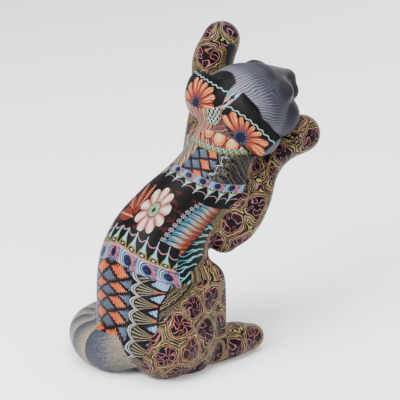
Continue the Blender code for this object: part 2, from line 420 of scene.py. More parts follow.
def write_surface(mesh):
    """Stores on the mesh where each of its points lies on the spine, tail, head, ears and slices."""
    places = read(mesh.vertices, "co") / MM
    for name, stations, side in (("back_place", SPINE, (-1, 0, 0)), ("tail_place", TAIL, (0, 0, 1))):
        along, angle, reach = along_and_around(places, stations, side)
        store_vectors(mesh, name, np.stack((along, reach * np.cos(angle), reach * np.sin(angle)), 1))
    head = head_places(places)
    store_vectors(mesh, "head_place", head)
    store_vectors(mesh, "right_ear_place", ear_places(head, -1))
    store_vectors(mesh, "left_ear_place", ear_places(head, 1))
    write_slices(mesh, places)


class Field:
    """A number or colour that varies over the clay: an output of a node in its material."""

    def __init__(self, socket):
        self.socket = socket

    def __add__(self, other):
        return work("ADD", self, other)

    def __sub__(self, other):
        return work("SUBTRACT", self, other)

    def __rsub__(self, other):
        return work("SUBTRACT", other, self)

    def __mul__(self, other):
        return work("MULTIPLY", self, other)

    def __truediv__(self, other):
        return work("DIVIDE", self, other)

    __radd__ = __add__
    __rmul__ = __mul__

    def cover(self, over, mask):
        """Lays a colour over this one where the mask is 1."""
        self.socket = paint(self, over, mask).socket


def add(kind):
    return clay.nodes.new("ShaderNode" + kind)


def join(value, socket):
    """Sets a node's input from a field, a colour out of 255 or a number."""
    if isinstance(value, Field):
        clay.links.new(value.socket, socket)
    elif isinstance(value, tuple):
        socket.default_value = (*[linear(part / 255) for part in value], 1)
    else:
        socket.default_value = value


def linear(part):
    """Light of a clay from its sRGB value."""
    light = part / 12.92 if part <= 0.04045 else ((part + 0.055) / 1.055) ** 2.4
    return light ** COLOUR_DEPTH * COLOUR_SHADE


def work(operation, *values):
    """One operation on fields and numbers."""
    node = add("Math")
    node.operation = operation
    for value, socket in zip(values, node.inputs):
        join(value, socket)
    return Field(node.outputs[0])


def maths(operation):
    """A function that works one operation out for its values."""
    def worked(*values):
        return work(operation, *values)
    return worked


least, most, size_of = maths("MINIMUM"), maths("MAXIMUM"), maths("ABSOLUTE")
wave, part_of, whole_of = maths("SINE"), maths("FRACT"), maths("FLOOR")
slope = maths("MULTIPLY_ADD")  # a straight line: of a value, how fast it rises with it, and where it starts


def length(across, up):
    return work("SQRT", slope(across, across, up * up))


def turn_of(up, across):
    """Angle in degrees."""
    return work("MULTIPLY", work("ARCTAN2", up, across), math.degrees(1))


def eased(value, start, end):
    """0 at the start and before it, 1 at the end and beyond, smooth between."""
    node = add("MapRange")
    node.interpolation_type = "SMOOTHSTEP"
    node.clamp = False
    for number, socket in zip((value, start, end), node.inputs):
        join(number, socket)
    return Field(node.outputs[0])


def above(value, edge, soft):
    """0 below the edge and 1 above it, with a ramp of the given width."""
    if isinstance(edge, Field):
        value, edge = value - edge, 0.0
    return eased(value, edge - soft / 2, edge + soft / 2)


def below(value, edge, soft):
    if isinstance(edge, Field):
        value, edge = value - edge, 0.0
    return eased(value, edge + soft / 2, edge - soft / 2)


def between(value, low, high, soft):
    return above(value, low, soft) * below(value, high, soft)


def line(value, centre, half, soft=LINE_SOFT):
    """1 within half a width of the centre, 0 beyond."""
    return below(size_of(value - centre), half, soft)


def ramp(value, low, high):
    """0 at the low value to 1 at the high one, in a straight line."""
    share = slope(value, 1 / (high - low), -low / (high - low))
    node = add("Clamp")
    join(share, node.inputs[0])
    return Field(node.outputs[0])


def paint(under, over, mask):
    """The one colour where the mask is 0 and the other where it is 1."""
    node = add("Mix")
    node.data_type = "RGBA"
    join(mask, node.inputs[0])
    join(under, node.inputs[6])
    join(over, node.inputs[7])
    return Field(node.outputs[2])


def surface(name):
    """A place stored on the mesh, as three numbers in one colour."""
    node = add("Attribute")
    node.attribute_name = name
    return Field(node.outputs["Color"])


def parts(place):
    node = add("SeparateColor")
    join(place, node.inputs[0])
    return [Field(output) for output in node.outputs]


def speck(size_mm, detail=2.0):
    """Noise from 0 to 1 with features of about the given size."""
    node = add("TexNoise")
    node.inputs["Scale"].default_value = 1 / (size_mm * MM)
    node.inputs["Detail"].default_value = detail
    clay.links.new(clay.nodes["Texture Coordinate"].outputs["Object"], node.inputs["Vector"])
    return Field(node.outputs[0])


def sway(size_mm, reach, detail=2.0):
    """Noise about 0, to shift an edge by up to about half the reach."""
    return (speck(size_mm, detail) - 0.5) * reach


def strokes(value):
    """Noise from 0 to 1 that varies with one number, about once for each unit of it."""
    node = add("TexNoise")
    node.noise_dimensions = "1D"
    node.inputs["Scale"].default_value = 1.0
    node.inputs["Detail"].default_value = 2.0
    join(value, node.inputs["W"])
    return Field(node.outputs[0])


def add_sockets(fields, side):
    """Gives the group that is being built an input or an output for each field."""
    for index, field in enumerate(fields):
        kind = "NodeSocketFloat" if field.socket.type == "VALUE" else "NodeSocketColor"
        clay.interface.new_socket(f"{side.lower()} {index}", in_out=side, socket_type=kind)


def in_group(build):
    """Makes a painter put its nodes in a group of their own, because a large tree is slow to add to."""
    def painter(*given):
        global clay
        outer, fields = clay, [value for value in given if isinstance(value, Field)]
        clay = bpy.data.node_groups.new(build.__name__, "ShaderNodeTree")
        add_sockets(fields, "INPUT")
        source = clay.nodes.new("NodeGroupInput")
        add("TexCoord")
        inner = iter(source.outputs)
        colour = build(*[Field(next(inner)) if isinstance(value, Field) else value for value in given])
        add_sockets([colour], "OUTPUT")
        sink = clay.nodes.new("NodeGroupOutput")
        join(colour, sink.inputs[0])
        tree, clay = clay, outer
        group = add("Group")
        group.node_tree = tree
        for field, socket in zip(fields, group.inputs):
            join(field, socket)
        return Field(group.outputs[0])
    return painter


@in_group
def paint_slices():
    """Slices of the ringed cane, pressed side by side."""
    first, second, third = surface("slice_a"), surface("slice_b"), surface("slice_c")
    one, two, three = [length(*parts(place)[:2]) for place in (first, second, third)]
    place = paint(first, second, work("LESS_THAN", two, one))
    low, high = least(one, two), most(one, two)
    place = paint(place, third, work("LESS_THAN", three, low))
    radius, other = least(low, three), least(high, most(low, three))
    x, y, number = parts(place)
    number = number * (1 / SEED_STEP)
    wobble = speck(4.2, 0.0) - 0.5 + sway(2.0, 0.35, 0.0)
    ring = radius * RING_PER_MM + radius / (radius + other) * RING_BY_SHARE + wobble * RING_WOBBLE
    folds = whole_of(number * 1.99) + CORE_PETALS
    angle = turn_of(y, x) + sway(4.4, 90, 0.0) + ring * (number - 0.5) * 14
    folded = (part_of(angle * folds * (1 / 360) + 0.5) - 0.5) * work("DIVIDE", math.tau, folds)
    out, aside = ring * work("COSINE", folded), ring * wave(folded)
    shade = speck(2.2, 1.0)
    lilac = paint(MAUVE, DUSTY_ROSE, above(shade, 0.5, 0.2))
    lilac.cover(TAN, above(shade - number * 0.2, 0.5, 0.1) * above(radius, 4.0, 0.8) * 0.5)
    lilac.cover(CORAL_PINK, above(shade + number * 0.3, 0.72, 0.16) * 0.35)
    lime = paint(YELLOW_GREEN, PALE_YELLOW, above(shade, 0.5, 0.2) * 0.8)

    thick = speck(2.6, 0.0) * 0.22
    colour = paint(DARK_OLIVE, BLACK, above(speck(1.6), 0.45, 0.1))
    colour.cover(lime, line(ring, OUTER_LIME, thick))
    colour.cover(lilac, line(ring, OUTER_LILAC, thick))
    colour.cover(lime, line(ring, INNER_LIME, thick * 0.8))
    colour.cover(lilac, line(ring, INNER_LILAC, thick * 0.9))
    dark = paint(BLACK, RUST, line(ring, DARK_RUST, 0.08, 0.2) * above(shade, 0.5, 0.1) * 0.6)
    colour.cover(dark, below(ring, DARK_EDGE, LINE_SOFT))
    colour.cover(lime, line(ring, DARK_LIME, thick * 0.6 + 0.06))
    reach = length(most(PETAL_START - out, 0.0), aside)
    core = paint(BLACK, WINE, below(reach, PETAL_HEART, 0.3))
    core.cover(lilac, line(reach, PETAL_LINE, thick * 0.4 + 0.1))
    core.cover(lilac, line(ring, CORE_LILAC, thick * 0.6 + 0.07))
    return paint(colour, core, below(ring, CORE_EDGE, LINE_SOFT))


@in_group
def paint_leaves(colour, mask, across, up, orange_only_middle=False):
    """Serrated lozenge leaves in half-dropped columns: orange ones between grey-blue ones."""
    first = part_of(across * 0.5 + up + 0.5)
    second = part_of(across * 0.5 - up + 0.5)
    column = whole_of(across * 0.5 + up + 0.5) + whole_of(across * 0.5 - up + 0.5)
    if orange_only_middle:
        orange = below(size_of(column), 0.5, 0.1)
    else:
        orange = above(part_of(column * 0.5), 0.25, 0.1)
    along, aside = first + second - 1, first - second
    tooth = part_of(along * 4.5 + aside * 0.5) * 0.17 * above(along, -0.6, 0.9) + sway(1.0, 0.12)
    edge = least(least(first, 1 - first), least(second, 1 - second)) - tooth
    streak = wave(aside * 26 + along * 5 + speck(3.0) * 9)
    warm = paint(ORANGE, RUST_ORANGE, above(streak + along * -0.8, 0.2, 1.2))
    warm.cover(PEACH, above(streak + along, 1.1, 0.8))
    warm.cover(RED_BROWN, above(wave(aside * 17 + along * 9), 0.86, 0.14) * 0.8)
    cool = paint(GREY_BLUE, SLATE, above(streak, 0.0, 0.7))
    cool.cover(PALE_BLUE, above(streak - along, 1.2, 0.6) * 0.6)
    leaf = paint(cool, warm, orange)
    leaf = paint(OUTLINE, leaf, above(edge, 0.06, 0.05))
    return paint(colour, leaf, mask)


@in_group
def paint_fans(colour, mask, u, row):
    """Scales with pale rims whose strokes run to a point, and blue wedges between them."""
    v = (part_of(row) - 0.5) * FAN_PITCH
    bend = u - v * v * 0.45 + sway(1.8, 0.7)
    spread = turn_of(v, FAN_LENGTH - u) * 0.72 + u * 0.2
    half = ramp(u, FAN_LENGTH, 4.0) * 2.15 + 0.14
    gap = size_of(v) - half + sway(1.4, 0.5)
    fan = paint(DARK_OLIVE, OLIVE_BROWN, above(wave(spread), 0.0, 0.9))
    fan.cover(BONE, above(wave(spread + 0.6), 0.74, 0.3) * 0.6)
    fan.cover(OUTLINE, below(wave(spread), -0.5, 0.5))
    fan.cover(RUST_ORANGE, above(u, 9.4, 1.6) * 0.75)
    fan.cover(BLACK, above(gap, 0.0, 0.3))
    blue = paint(DEEP_BLUE, SKY_BLUE, ramp(u, 7.6, 10.0))
    blue.cover(ICE_BLUE, above(strokes(u * 1.6 + v * 0.8), 0.53, 0.1) * above(u, 8.4, 1.6))
    side = ramp(u, FAN_WEDGES, 12.0) * 1.7 + size_of(v) - FAN_PITCH / 2 + sway(1.4, 0.4)
    fan.cover(blue, above(side, 0.0, 0.25) * above(u, FAN_WEDGES, 0.8))
    fan.cover(BLACK, between(bend, -3.0, 1.9, 0.2))
    fan.cover(PALE_GREY, line(bend, 1.45, 0.2))
    fan.cover(BROWN_GREY, line(bend, 0.95, 0.1))
    fan.cover(PALE_GREY, line(bend, 0.3, 0.32))
    fan.cover(BLACK, line(bend, 2.1, 0.22) * below(gap, 0.0, 0.2))
    return paint(colour, fan, mask)


@in_group
def paint_eyes(colour, mask, across, up):
    """A band of round eyes on pink, lilac and pale blue."""
    a = (part_of(across) - 0.5) * EYE_PITCH
    b = up
    ground = paint(LILAC, PINK, above(speck(1.0), 0.6, 0.1))
    ground.cover(SLATE, line(strokes(a * 1.5 + b * 2), 0.5, 0.05, 0.04))
    ground.cover(INK, above(speck(1.2), 0.56, 0.06) * 0.7)
    ground.cover(PALE_BLUE, ramp(a + speck(1.2) * 2, 1.4, -1.0))
    ground.cover(RED_ORANGE, line(a + b, 2.3, 0.4, 0.8) * 0.8)
    ring = length(a * 0.72 + b * 0.2, b * 1.1)
    left = below(a + b * 0.5, 0.3, 0.8)
    for ring_clay, radius, half in EYE_RINGS:
        ground.cover(ring_clay, line(ring, radius, half) * left)
    ground.cover(INK, below(ring, 1.36, 0.2))
    ground.cover(DEEP_BLUE, line(length(a * 0.72 + 0.3, b - 0.3), 0.6, 0.12) * left * 0.7)
    ground.cover(OUTLINE, line(size_of(b), 1.95, 0.16) * 0.7)
    return paint(colour, ground, mask)


@in_group
def paint_spikes(colour, mask, across, height, pitch):
    """Aqua spikes on black that rise from an olive foot, with a thin looped line between the tips."""
    a = size_of(part_of(across) - 0.5) * pitch
    width = ramp(height, 5.2, 0.2)
    width = width * work("SQRT", width) * (pitch * 0.42) + 0.14
    ground = paint(BLACK, PINK, line(height + a * (1 - a / pitch), 5.1, 0.15) * 0.8)
    spike = paint(TEAL, AQUA, below(a - width, -0.3, 0.5))
    spike.cover(PALE_STRAW, ramp(height, 2.4, 0.6) * 0.8)
    spike.cover(ICE_BLUE, below(a, 0.24, 0.2) * above(height, 1.4, 0.6))
    foot = length(a * 0.42, (height - 0.9) * 1.3)
    spike.cover(OLIVE_YELLOW, line(foot, 0.86, 0.2))
    spike.cover(BLACK, line(foot, 0.45, 0.2))
    ground.cover(OLIVE_YELLOW, line(a, width + 0.14, 0.14) * below(height, 2.2, 0.5))
    ground.cover(spike, below(a, width, 0.14))
    ground.cover(RED_BROWN, below(height, 0.3, 0.2))
    return paint(colour, ground, mask)


@in_group
def paint_rosette(colour, mask, x, y):
    """A big pale rosette beside long russet leaves on near-black, in the middle of the back."""
    field = paint(PITCH, RED_BROWN, above(speck(2.6), 0.56, 0.1) * 0.45)
    stem_x, stem_y = x + LEAF_ROOT_ASIDE, y + LEAF_ROOT_DOWN
    for turn, reach in LEAVES_BESIDE:
        cosine, sine = math.cos(math.radians(turn)), math.sin(math.radians(turn))
        along = stem_x * cosine + stem_y * sine
        aside = stem_y * cosine - stem_x * sine
        half = 1 - work("POWER", size_of(along * (2 / reach) - 1), 2.0)
        leaf = paint(RUSSET, RED_BROWN, above(wave(size_of(aside) * 6 - along * 2.4), 0.0, 0.8))
        leaf.cover(CREAM_PINK, line(aside, 0.0, 0.13))
        field.cover(PITCH, below(size_of(aside) - half * LEAF_HALF, 0.3, 0.2))
        field.cover(leaf, below(size_of(aside) - half * LEAF_HALF, 0.0, 0.2))
    x, y = x - ROSETTE_ASIDE, y + ROSETTE_DOWN
    radius, angle = length(x, y), turn_of(y, x)
    petal = size_of(part_of(angle * (1 / ROSETTE_PETAL)) - 0.5) * 2
    tip = ROSETTE_RADIUS - petal * petal * 1.9
    flower = paint(CREAM_PINK, DUSTY_PINK, above(petal + speck(1.6) * 0.5, 0.86, 0.4))
    flower.cover(DUSTY_PINK, ramp(radius, 5.2, 2.6) * 0.8)
    flower.cover(CREAM, line(petal, 0.0, 0.32, 0.4) * above(radius, 3.6, 1.2))
    flower.cover(RED_BROWN, line(petal, 1.0, 0.1, 0.1) * above(radius, 2.4, 0.6))
    flower.cover(RED_BROWN, line(radius, 2.5, 0.2))
    flower.cover(LEAF_GREEN, below(radius, ROSETTE_HEART, 0.2))
    spots = line(size_of(part_of(angle * (1 / 30)) - 0.5), 0.0, 0.16, 0.1) * between(radius, 1.2, 2.1, 0.2)
    flower.cover(PALE_GREEN, spots)
    flower.cover(PITCH, below(radius, 0.75, 0.2))
    field.cover(PITCH, below(radius, tip + 0.5, 0.2))
    field.cover(flower, below(radius, tip, 0.2))
    return paint(colour, field, mask)


def paint_back(colour):
    """The panels down the back and over the shoulders.

    up is the way along the spine in millimetres; around is the angle about it in degrees, zero on
    the back and larger towards the cat's right; turned is the same with the left side as a mirror.
    """
    up, outward, sideways = parts(surface("back_place"))
    around = turn_of(sideways, outward)
    reach = length(sideways, outward)
    lean = ramp(up, AXIS_STRAIGHT, AXIS_ASIDE) * PANEL_AXIS
    turned = size_of(around + lean) - lean
    edge = least(CLOTH_BASE + CLOTH_GROWTH * work("EXPONENT", up * (1 / CLOTH_RISE)), CLOTH_WIDEST)
    cloth = below(turned, edge, 1.2)

    # Flanks: dark flames, then long streaks up the belly's side
    flame = strokes((up - turned * 0.3) * 2.0 + speck(2.0) * 5)
    flank = paint(BLACK, DARK_OLIVE, above(flame, 0.46, 0.06))
    flank.cover(TAN_OLIVE, above(flame, 0.55, 0.04))
    flank.cover(TAN, above(flame, 0.62, 0.04) * 0.7)
    streak = strokes(turned * 0.6 + up * 0.06 + speck(4.0) * 5)
    belly = paint(DARK_OLIVE, TAN_OLIVE, above(streak, 0.5, 0.08))
    belly.cover(TAN, above(streak, 0.6, 0.05) * 0.7)
    belly.cover(BLACK, below(streak, 0.43, 0.05))
    flank.cover(belly, above(up, BELLY_START, 1.0))
    colour.cover(flank, cloth * below(up, HEAD_START, 1.0))

    # Dark strip with forked aqua branches
    left, right = BRANCHES_LEFT, least(80 + 2.0 * most(up - 38, 0.0), BRANCHES_WIDEST)
    share = (turned - left) / (right - left)
    row = part_of((up - turned * 0.2) * (1 / BRANCH_PITCH) + sway(3.4, 0.8, 0.0)) - 0.5
    fork = size_of(size_of(row) - below(share, 0.5, 0.5) * 0.26)
    branch = paint(TEAL, AQUA, above(share + speck(2.0) * 0.6, 0.66, 0.4))
    half = 0.06 + 0.05 * ramp(share, 0.3, 0.8)
    strip = paint(NIGHT_TEAL, branch, below(fork, half, 0.07) * between(share, 0.14, 0.95, 0.08))
    strip.cover(CORAL, above(0.16 - size_of(row + 0.1) * 0.4 - size_of(share - 0.02), 0.0, 0.05))
    place = cloth * between(up, BRANCHES_START, BRANCHES_END, 0.6) * between(turned, left, right, 1.0)
    colour.cover(strip, place)

    # Blue to rust stripes
    chain = slope(up, 0.94, 39 - 0.94 * 46.5)
    right = least(slope(up, 1.5, 67 - 1.5 * 45), STRIPES_WIDEST)
    share = (turned - chain) / (right - chain)
    slant = up - turned * 0.08
    lines = strokes(slant * 2.4 + speck(3.0) * 1.5) - 0.5
    bar = part_of(slant * 0.5 + speck(3.0) * 0.5)
    cell = share + (bar - 0.5) * 0.35 + lines * 0.5
    stripe = paint(DEEP_SKY, BONE, ramp(cell, 0.26, 0.52))
    stripe.cover(RUSSET, ramp(cell, 0.5, 0.72))
    stripe.cover(RED_BROWN, ramp(cell, 0.74, 1.0))
    stripe.cover(CREAM_PINK, above(lines, 0.14, 0.06) * 0.4)
    stripe.cover(PITCH, line(bar, 0.12, 0.1, 0.1) * 0.85)
    stripe.cover(DEEP_BLUE, below(lines, -0.12, 0.06) * below(share, 0.5, 0.4))
    stripe.cover(BLACK, above(share, 0.955, 0.04))
    middle_rows = above(up, MIDDLE_START, 0.4)
    colour.cover(stripe, middle_rows * below(turned, right, 0.8) * below(up, MIDDLE_END, 1.0))

    # Black and white chain
    across = (turned - chain) * BACK_MM_PER_DEGREE
    beads = size_of(part_of(up * (1 / CHAIN_PITCH)) - 0.5) * CHAIN_PITCH
    square = most(size_of(size_of(across) - 0.62), beads)
    link = paint(BLACK, PALE_GREY, line(square, 0.42, 0.09, 0.1) * 0.85)
    link.cover(PALE_GREY, below(most(size_of(across), 1.0 - beads), 0.17, 0.1))
    colour.cover(link, middle_rows * below(across, CHAIN_HALF, 0.15) * below(up, MIDDLE_END, 1.0))

    # Dark field with the rosette
    field = middle_rows * below(across, -CHAIN_HALF, 0.15) * below(up, MIDDLE_END, 1.0)
    colour = paint_rosette(colour, field, around * BACK_MM_PER_DEGREE, up - ROSETTE_HEIGHT)

    # Lower band of spikes
    foot = slope(turned, -0.045, 41.0)
    rows = above(up, foot, 0.2) * below(up, SPIKES_TOP + 0.4, 0.3) * below(turned, SPIKES_SIDE, 1.0)
    colour.cover(PITCH, rows)
    colour = paint_spikes(colour, rows * below(up, SPIKES_TOP, 0.3), (turned - 10) * (1 / SPIKE_TURN) + 0.5,
                          up - foot, SPIKE_PITCH)

    # Eyes below it
    low = slope(turned, -0.075, 37.6)
    rows = above(up, low, 0.3) * below(up, foot, 0.3) * below(turned, EYES_SIDE, 1.0)
    middle = up - (low + foot) * 0.5
    colour = paint_eyes(colour, rows, (turned - 9) * (1 / EYE_TURN) + 0.5, middle)
    colour.cover(PINK, line(up, foot, 0.22) * below(turned, SPIKES_SIDE, 1.0))

    # Leaves and fans on the lower back
    rows = below(up, low, 0.3) * cloth
    colour = paint_fans(colour, rows * below(turned, FAN_END, 0.6), (turned - FAN_START) * BACK_MM_PER_DEGREE,
                        up * (1 / FAN_PITCH) + 0.5 - FAN_MIDDLE / FAN_PITCH)
    black_line = 46 + 11 * ramp(up, 26, 34)
    colour.cover(flank, rows * above(turned, black_line, 0.6) * below(up, BELLY_FRAY, 0.5))
    colour.cover(BLACK, rows * line(turned, black_line, 0.9, 0.5) * above(up, 18.0, 1.0))
    across = (turned + PANEL_AXIS) * (1 / LEAF_COLUMN)
    colour = paint_leaves(colour, rows * below(turned, FAN_START, 0.8), across,
                          (up - LEAVES_MIDDLE) * (1 / LEAF_ROW) + across * 0.2)
    return colour, up, around, reach


def paint_neck(colour, up, around, reach):
    """From the upper band of spikes to the collar behind the ears."""
    rise = around * 0.01
    foot = slope(rise * rise, 9.0, 62.3)
    height = up - foot
    wide = between(around, -UPPER_SIDE, UPPER_SIDE, 1.5) * below(reach, 27.0, 1.0)
    colour.cover(PITCH, wide * between(height, 0.0, 9.0, 0.3))
    colour = paint_spikes(colour, wide * between(height, UPPER_SPIKES_START, UPPER_SPIKES_FOOT, 0.3),
                          (around - 4) * (1 / UPPER_SPIKE_TURN) + 0.5, UPPER_SPIKES_FOOT - height,
                          UPPER_SPIKE_PITCH)
    colour = paint_eyes(colour, wide * between(height, UPPER_EYES_START, UPPER_EYES_END, 0.4),
                        (around - 15) * (1 / EYE_TURN) + 0.5, height - UPPER_EYES_MIDDLE)

    # Neck: leaves in the middle, scales to the right, fine lines to the left
    neck = wide * above(height, NECK_START, 0.4) * below(up, HEAD_START, 1.0)
    side = paint(BLACK, DARK_OLIVE, above(strokes(up * 1.2 + around * 0.1 + speck(3.0) * 2), 0.46, 0.1))
    side.cover(TAN_OLIVE, above(strokes(up * 1.4 + around * 0.12 + speck(3.0) * 2), 0.6, 0.05))
    side.cover(SLATE, above(speck(1.4), 0.52, 0.08) * 0.7)
    colour.cover(side, neck * above(around, 55.0, 1.0))
    colour = paint_fans(colour, neck * between(around, NECK_FANS_START - 2, NECK_FANS_END, 1.0),
                        (around - NECK_FANS_START) * BACK_MM_PER_DEGREE * 0.8, up * (1 / NECK_FAN_PITCH) + 0.2)
    shadows = neck * between(around, NECK_FANS_START, NECK_FANS_END, 1.0) * above(speck(1.2), 0.5, 0.08) * 0.8
    colour.cover(NIGHT_TEAL, shadows)
    threads = neck * between(around, NECK_FANS_START + 2, NECK_FANS_END - 2, 1.0)
    threads = threads * line(speck(1.6), 0.46, 0.008, 0.02) * 0.7
    colour.cover(GREY_BLUE, threads)
    across = (around - 25) * (1 / NECK_LEAF_COLUMN)
    colour = paint_leaves(colour, neck * below(around, NECK_FANS_START, 1.0), across,
                          (up - NECK_LEAVES_MIDDLE) * (1 / NECK_LEAF_ROW) + across * 0.2, True)
    lines = strokes(around * 0.36 + up * 0.7 + speck(4.0) * 5)
    left = paint(BROWN_GREY, BONE, above(lines, 0.54, 0.06))
    left.cover(OUTLINE, below(lines, 0.47, 0.05))
    left.cover(TAN_PEACH, between(around, -16.0, -8.0, 3.0) * above(lines, 0.45, 0.05) * 0.7)
    colour.cover(left, neck * below(around, -6.0, 2.0))

    # Collar: olive and teal teeth, then shells
    aside = (around - 5) * 0.1
    foot = slope(aside * aside, 0.12, 84.4)
    height = up - foot
    tooth = size_of(part_of(around * (1 / TOOTH_TURN)) - 0.5) * TOOTH_HEIGHT
    collar = paint(OLIVE_YELLOW, TEAL, above(height, tooth, 0.4))
    collar.cover(BLACK, line(height, tooth, 0.22))
    collar.cover(PALE_STRAW, line(height, tooth + 0.6, 0.18))
    wide = between(around, -70.0, UPPER_SIDE, 1.5) * below(reach, 24.0, 1.0) * below(up, 97.0, 1.0)
    colour.cover(collar, wide * above(height, 0.0, 0.4))
    a = (part_of(around * (1 / SHELL_TURN) + 0.55) - 0.5) * SHELL_PITCH
    middle = slope(around, -0.085, 7.8)
    shell = length(a, height - middle)
    scale = paint(ORANGE, PEACH_CREAM, below(length(a + 0.6, height - middle - 0.8) + speck(1.0), 2.6, 2.0))
    ridges = strokes(turn_of(a, height - middle + 2.2) * 0.12)
    scale.cover(RED_BROWN, above(ridges, 0.58, 0.06) * 0.6)
    fine = strokes(around * 0.3 + up * 0.7 + speck(4.0) * 4)
    row = paint(TAN_PEACH, RUST, above(fine, 0.5, 0.1))
    row.cover(OUTLINE, below(fine, 0.46, 0.05))
    row.cover(BONE, above(fine, 0.58, 0.05))
    ragged = above(around + sway(3.0, 30), 4.0, 6.0)
    row.cover(RED_BROWN, ragged * line(fine, 0.48, 0.03, 0.04))
    row.cover(OUTLINE, below(shell, SHELL_RADIUS + 0.4, 0.25) * above(around, -14.0, 2.0))
    row.cover(scale, below(shell, SHELL_RADIUS, 0.2) * above(around, -12.0, 2.0))
    return paint(colour, row, wide * above(height, 2.3, 0.4))


@in_group
def paint_head(colour, up, around):
    """Nape with checks and tan lines, grey crown with fine dark strokes, and a plain dark face."""
    across, back, height = parts(surface("head_place"))
    distance = work("SQRT", across * across + back * back + height * height)
    fine = strokes(around * 0.34 + up * 0.16 + speck(5.0) * 4)
    nape = paint(TAN_PEACH, TAN, above(fine, 0.5, 0.12))
    nape.cover(TAN_OLIVE, above(speck(3.0), 0.48, 0.1) * 0.8)
    nape.cover(RUST_ORANGE, above(speck(4.0), 0.56, 0.08) * 0.6)
    nape.cover(RUST, above(fine, 0.57, 0.04))
    nape.cover(CREAM, line(fine, 0.5, 0.012, 0.02))
    nape.cover(OUTLINE, below(fine, 0.46, 0.04))
    nape.cover(SLATE, line(fine, 0.54, 0.01, 0.02))
    scraps = strokes(up * 1.5 - around * 0.14 + speck(2.0) * 4)
    busy = paint(RED_BROWN, BROWN_GREY, above(scraps, 0.44, 0.05))
    busy.cover(OUTLINE, above(scraps, 0.49, 0.05))
    busy.cover(TAN_PEACH, above(scraps, 0.54, 0.04))
    busy.cover(OUTLINE, above(scraps, 0.59, 0.04))
    nape.cover(busy, above(around + sway(3.0, 30), 4.0, 6.0))
    check = part_of((whole_of(around * (1 / CHECK_TURN) + up * 0.3) + whole_of(up * (1 / CHECK_HEIGHT))) * 0.5)
    checks = paint(PALE_GREY, BLACK, above(check, 0.25, 0.1))
    checks.cover(LEAF_GREEN, above(speck(2.4), 0.58, 0.08))
    nape.cover(checks, between(around, -18.0, 8.0, 2.0) * between(up, CHECKS_START, CHECKS_END, 1.0))
    flames = strokes(around * 0.24 - up * 0.6 + speck(4.0) * 4)
    tuft = paint(GREY_BLUE, ICE_BLUE, above(flames, 0.53, 0.06))
    tuft.cover(TEAL, line(flames, 0.5, 0.016, 0.02))
    tuft.cover(INK, below(flames, 0.45, 0.05))
    tuft.cover(TAN_PEACH, above(speck(2.4), 0.56, 0.06) * 0.8)
    nape.cover(tuft, between(around, -10.0, 60.0, 3.0) * above(up, TUFT_START, 1.5))
    colour.cover(nape, above(up, NAPE_START, 0.8) * below(distance, NAPE_RADIUS, 0.8)
                 * between(around, -NAPE_SIDE, NAPE_SIDE, 2.0))

    # Crown and face
    angle = turn_of(height, across)
    comb = wave(angle * 1.5 + back * 0.5 + back * ramp(angle, 128.0, 140.0) * 2.6 + speck(5.0, 1.0) * 9)
    fur = paint(CROWN_LIGHT, CROWN_GREY, ramp(back, 8.0, -2.0))
    fur.cover(CROWN_DARK, above(comb + speck(2.0) * 1.6, 0.6, 1.1) * 0.75)
    fur.cover(CROWN_DARK, ramp(back + speck(3.0) * 2, 1.0, -8.0) * 0.8)
    fur.cover(CHARCOAL, ramp(back + speck(3.0) * 2, -5.0, -11.0))
    fur.cover(MUZZLE_DARK, ramp(back, -17.0, -22.0) * 0.7)
    fur.cover(CHARCOAL, ramp(height, -10.0, -16.0) * 0.7)
    fur.cover(CROWN_DARK, above(comb + speck(2.0) * 1.6, 0.9, 1.2) * ramp(back, -6.0, -12.0) * 0.45)
    aside = size_of(across)
    x, y = aside - EYE_ASIDE, height - EYE_HEIGHT - (aside - EYE_ASIDE) * EYE_SLANT
    eye = length(x * 0.8, y)
    front = between(back, EYES_FRONT, EYES_BACK, 0.4)
    fur.cover(CROWN_GREY, below(length(x * 0.62, y - 1.0), 3.4, 1.2) * front * 0.6)
    fur.cover(BLACK, below(eye, EYE_RIM, 0.3) * front)
    fur.cover(LEAF_GREEN, below(eye, EYE_IRIS, 0.2) * front)
    fur.cover(PALE_GREEN, below(length(x + 0.2, y + 0.9), 1.5, 1.4) * below(eye, 2.2, 0.2) * front)
    fur.cover(BLACK, below(length(x * 2.3, y), EYE_PUPIL, 0.2) * front)
    # Painted highlight: the small pale dot in each eye is a glint of light, not a clay of the eye
    fur.cover(ICE_BLUE, below(length(x - 0.6, y - 0.8), 0.45, 0.2) * front)

    # Nose, mouth and whisker dots
    muzzle = below(back, MUZZLE_BACK, 1.0)
    fur.cover(CHARCOAL, below(length(aside - 4.2, height + 2.2), 4.0, 1.4) * muzzle * 0.8)
    mouth = line(aside, 0.0, 0.22) * between(height, -3.4, 0.2, 0.3)
    mouth = most(mouth, line(length(aside - 2.4, height + 3.0), 2.4, 0.22) * below(height, -3.6, 0.4))
    fur.cover(BLACK, mouth * muzzle)
    dots = length((part_of(aside * (1 / DOT_PITCH)) - 0.5) * DOT_PITCH,
                  (part_of(height * (1 / DOT_ROW) + aside * 0.25) - 0.5) * DOT_ROW)
    fur.cover(CROWN_LIGHT, below(dots, 0.26, 0.12) * between(aside, 2.6, 5.8, 0.2)
              * between(height, -4.4, -0.6, 0.2) * muzzle * 0.6)
    nose = below(most(aside - 0.9 - (height - 1.2) * 0.5, size_of(height - 1.8) - 1.3), 0.6, 0.3)
    fur.cover(DUSTY_PINK, nose * muzzle)
    size = FACE_RADIUS + ramp(back, -4.0, -8.0) + 9.0 * ramp(back, -8.0, -14.0) * ramp(height, -12.0, -6.0)
    return paint(colour, fur, below(distance, size, 0.6) * below(back + height * -0.28, FACE_BACK, 0.6)
                 * above(up, 84.0, 1.0))


